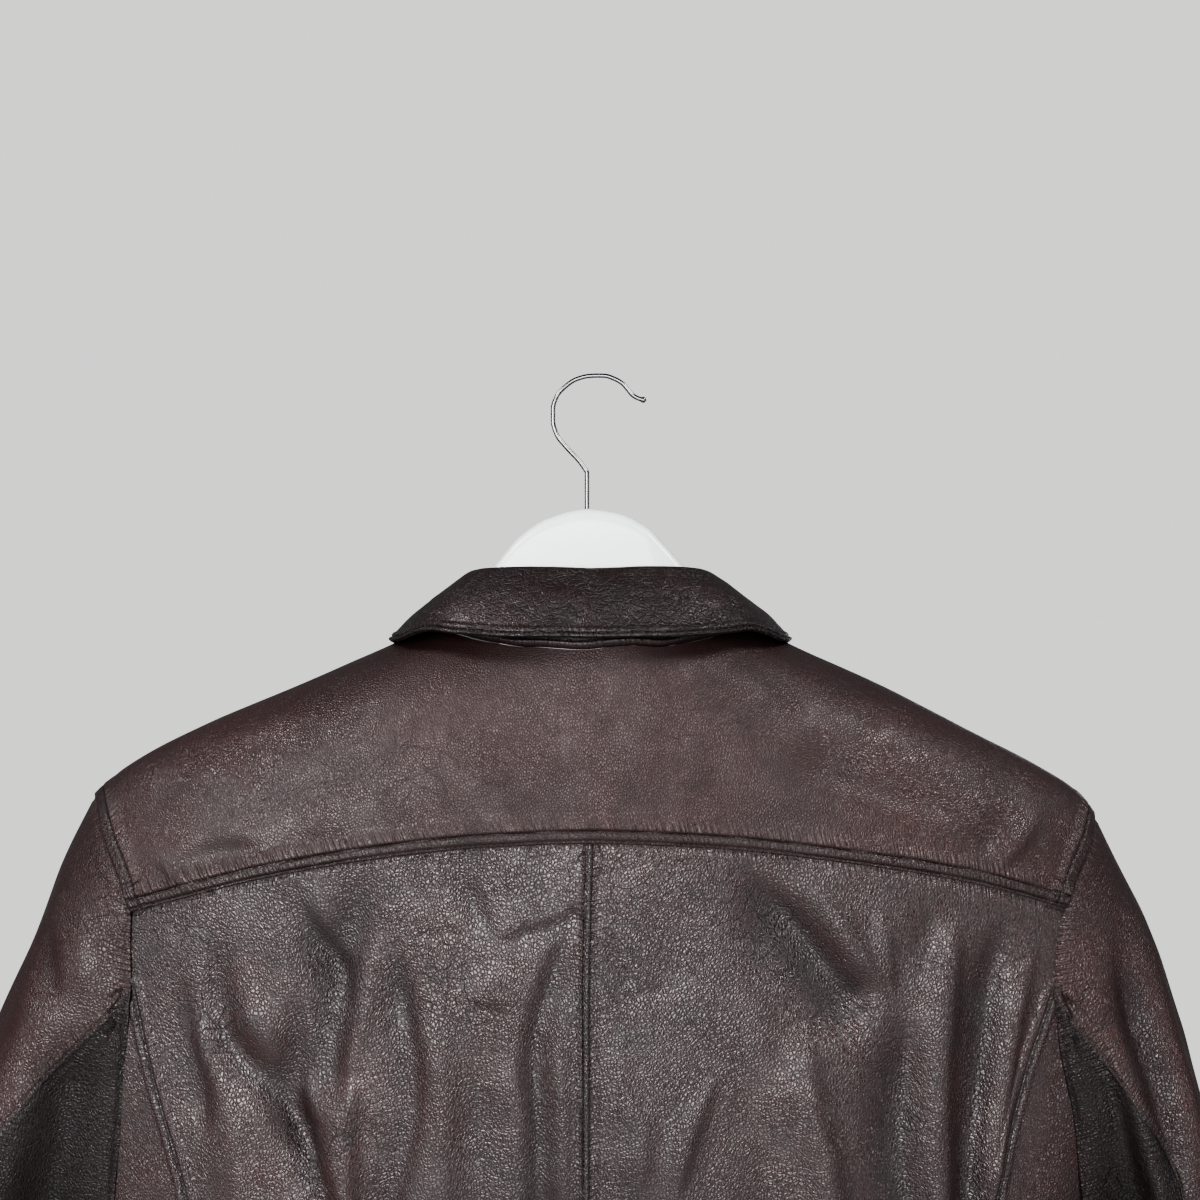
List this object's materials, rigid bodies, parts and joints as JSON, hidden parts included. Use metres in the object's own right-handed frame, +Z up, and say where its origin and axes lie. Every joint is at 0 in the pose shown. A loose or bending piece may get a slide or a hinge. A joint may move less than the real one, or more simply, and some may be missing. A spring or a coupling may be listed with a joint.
{
  "type": "leather jacket on a hanger",
  "caption": "Worn dark brown leather jacket with a shoulder yoke, panelled back, set-in sleeves and turned-down collar, hanging buttoned on a flat white wooden hanger with a wire hook.",
  "frame": {"origin": "top of the inside of the hanger's hook, where the hook rests on what it hangs from", "axes": "+Z up; the back of the jacket faces -Y and its front +Y; the wearer's left is towards -X"},
  "size_m": [0.75, 0.138, 0.8274],
  "materials": {
    "leather": "pebbled dark brown leather, rubbed paler and redder on edges and ridges, soft sheen",
    "button": "plain dark polished",
    "hanger_wood": "white satin paint",
    "chrome": "polished bright wire"
  },
  "bodies": {
    "root": {"back_yoke": "leather", "back_left": "leather", "back_right": "leather", "side_back_left": "leather", "side_back_right": "leather", "front_left": "leather", "front_right": "leather", "button_band": "leather", "collar_fall": "leather", "collar_stand": "leather", "sleeve_upper_left": "leather", "sleeve_upper_right": "leather", "sleeve_under_left": "leather", "sleeve_under_right": "leather", "button_1": "button", "button_2": "button", "button_3": "button", "button_4": "button", "button_5": "button", "hanger_body": "hanger_wood", "hanger_hook": "chrome"}
  },
  "joints": []
}
